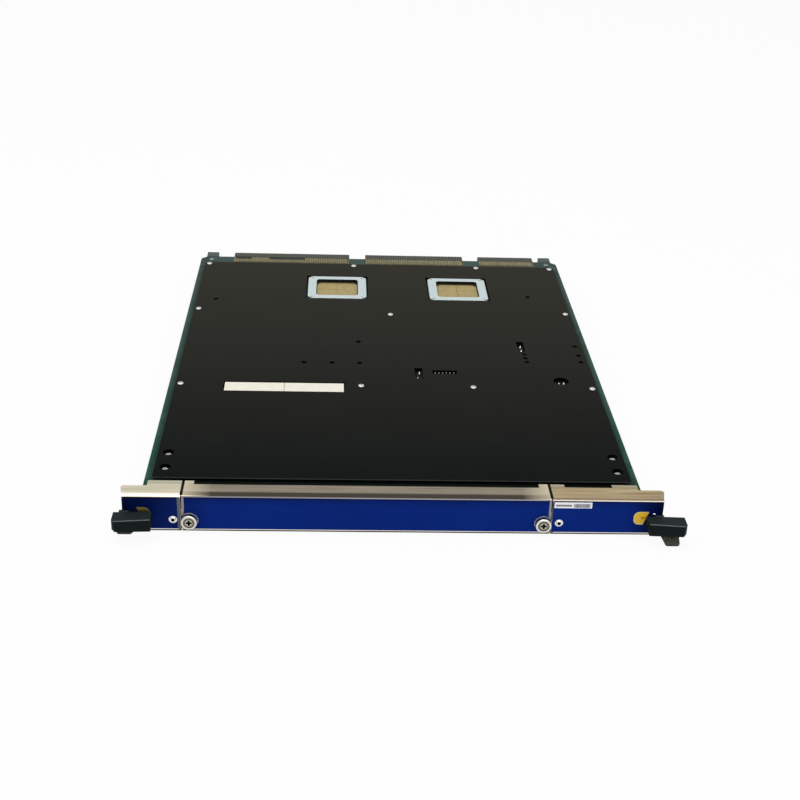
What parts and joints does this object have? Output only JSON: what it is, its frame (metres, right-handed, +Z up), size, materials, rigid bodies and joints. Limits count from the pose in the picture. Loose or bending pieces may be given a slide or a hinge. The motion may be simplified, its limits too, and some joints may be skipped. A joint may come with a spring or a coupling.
{
  "type": "switch control board",
  "caption": "Chassis switch control board lying solder side up under a black cover sheet, with a folded front panel, swinging ejectors, captive thumbscrews and backplane connectors.",
  "frame": {"origin": "on the front panel's face, at the middle of its lower edge", "axes": "X along the front panel, +Y from the panel to the backplane, +Z up through the solder side"},
  "size_m": [0.4553, 0.5777, 0.0327],
  "materials": {
    "board_laminate": "glass fibre laminate, green solder resist",
    "cover_sheet": "thin sheet, black coating",
    "turned_steel": "turned steel, zinc plated",
    "screw_steel": "steel screws, bright zinc",
    "left_wing_steel": "folded sheet steel, plated",
    "right_wing_steel": "folded sheet steel, plated",
    "blank_steel": "folded sheet steel, plated",
    "panel_film": "printed film, blue",
    "bracket_steel": "folded sheet steel, plated",
    "lever_casting": "die casting",
    "grip_moulding": "moulded plastic, fine grain",
    "trigger_casting": "die casting, dull",
    "rivet_steel": "bright rivets",
    "thumbscrew_steel": "turned and knurled, nickel plated",
    "connector_moulding": "moulded plastic, grey",
    "guide_casting": "die casting, dull",
    "chip_package": "moulded chip packages",
    "heat_sink_aluminium": "extruded, black anodised",
    "backing_steel": "stamped plate, plated",
    "docking_moulding": "moulded plastic, black",
    "strip_moulding": "moulded plastic, cream",
    "converter_aluminium": "base plate, plain",
    "capacitor_can": "drawn can",
    "choke_core": "pressed iron powder"
  },
  "bodies": {
    "board": {"blank_panel": "blank_steel", "blank_panel_film": "panel_film", "bracket_screws": "screw_steel", "bulk_capacitor": "capacitor_can", "circuit_board": "board_laminate", "control_chips": "chip_package", "cover_screws": "screw_steel", "cover_standoffs": "turned_steel", "docking_connector": "docking_moulding", "guide_block_screws": "screw_steel", "heat_sink_screws": "screw_steel", "left_backing_plate": "backing_steel", "left_backplane_connector": "connector_moulding", "left_bay_lug": "bracket_steel", "left_bay_rail": "bracket_steel", "left_docking_strip": "strip_moulding", "left_guide_block": "guide_casting", "left_heat_sink": "heat_sink_aluminium", "left_pivot_pin": "turned_steel", "left_side_bracket": "bracket_steel", "left_switch_chip": "chip_package", "left_wing_film": "panel_film", "left_wing_panel": "left_wing_steel", "lug_inserts": "turned_steel", "lug_rivets": "rivet_steel", "middle_backplane_connector": "connector_moulding", "power_choke": "choke_core", "power_converter": "converter_aluminium", "right_backing_plate": "backing_steel", "right_backplane_connector": "connector_moulding", "right_bay_lug": "bracket_steel", "right_bay_rail": "bracket_steel", "right_docking_strip": "strip_moulding", "right_guide_block": "guide_casting", "right_heat_sink": "heat_sink_aluminium", "right_pivot_pin": "turned_steel", "right_side_bracket": "bracket_steel", "right_switch_chip": "chip_package", "right_wing_film": "panel_film", "right_wing_panel": "right_wing_steel", "service_header": "docking_moulding", "solder_side_cover": "cover_sheet", "thumbscrew_collars": "turned_steel"},
    "left_lever": {"left_ejector_lever": "lever_casting"},
    "left_slider": {"left_grip": "grip_moulding", "left_trigger_pin": "turned_steel"},
    "left_catch": {"left_trigger": "trigger_casting"},
    "right_lever": {"right_ejector_lever": "lever_casting"},
    "right_slider": {"right_grip": "grip_moulding", "right_trigger_pin": "turned_steel"},
    "right_catch": {"right_trigger": "trigger_casting"},
    "left_screw_travel": {"left_thumbscrew_spring": "turned_steel"},
    "left_screw": {"left_thumbscrew": "thumbscrew_steel"},
    "right_screw_travel": {"right_thumbscrew_spring": "turned_steel"},
    "right_screw": {"right_thumbscrew": "thumbscrew_steel"}
  },
  "joints": [
    {"name": "left_lever_swing", "type": "hinge", "parent": "board", "child": "left_lever", "pos_m": [-0.208, 0.009, 0.0124], "axis": [0, 0, 1], "range_deg": [-45, 0]},
    {"name": "left_grip_slide", "type": "slide", "parent": "left_lever", "child": "left_slider", "axis": [-1, 0, 0], "range_m": [0, 0.0105]},
    {"name": "left_trigger_hinge", "type": "hinge", "parent": "left_slider", "child": "left_catch", "pos_m": [-0.21075, -0.0056, 0.0092], "axis": [1, 0, 0], "range_deg": [0, 38.2]},
    {"name": "left_screw_advance", "type": "slide", "parent": "board", "child": "left_screw_travel", "axis": [0, -1, 0], "range_m": [0, 0.0049], "deforming": ["left_thumbscrew_spring"]},
    {"name": "left_screw_turn", "type": "hinge", "parent": "left_screw_travel", "child": "left_screw", "pos_m": [-0.1633, 0, 0.011], "axis": [0, -1, 0], "range_deg": [0, 2521]},
    {"name": "right_lever_swing", "type": "hinge", "parent": "board", "child": "right_lever", "pos_m": [0.208, 0.009, 0.0124], "axis": [0, 0, 1], "range_deg": [0, 45]},
    {"name": "right_grip_slide", "type": "slide", "parent": "right_lever", "child": "right_slider", "axis": [1, 0, 0], "range_m": [-0.0105, 0]},
    {"name": "right_trigger_hinge", "type": "hinge", "parent": "right_slider", "child": "right_catch", "pos_m": [0.22125, -0.0056, 0.0092], "axis": [1, 0, 0], "range_deg": [-38.2, 0]},
    {"name": "right_screw_advance", "type": "slide", "parent": "board", "child": "right_screw_travel", "axis": [0, -1, 0], "range_m": [0, 0.0049], "deforming": ["right_thumbscrew_spring"]},
    {"name": "right_screw_turn", "type": "hinge", "parent": "right_screw_travel", "child": "right_screw", "pos_m": [0.1196, 0, 0.011], "axis": [0, -1, 0], "range_deg": [0, 2521]}
  ],
  "couplings": [
    {"joint": "left_screw_turn", "follows": "left_screw_advance", "rad_per_m": 8976},
    {"joint": "right_screw_turn", "follows": "right_screw_advance", "rad_per_m": 8976}
  ]
}
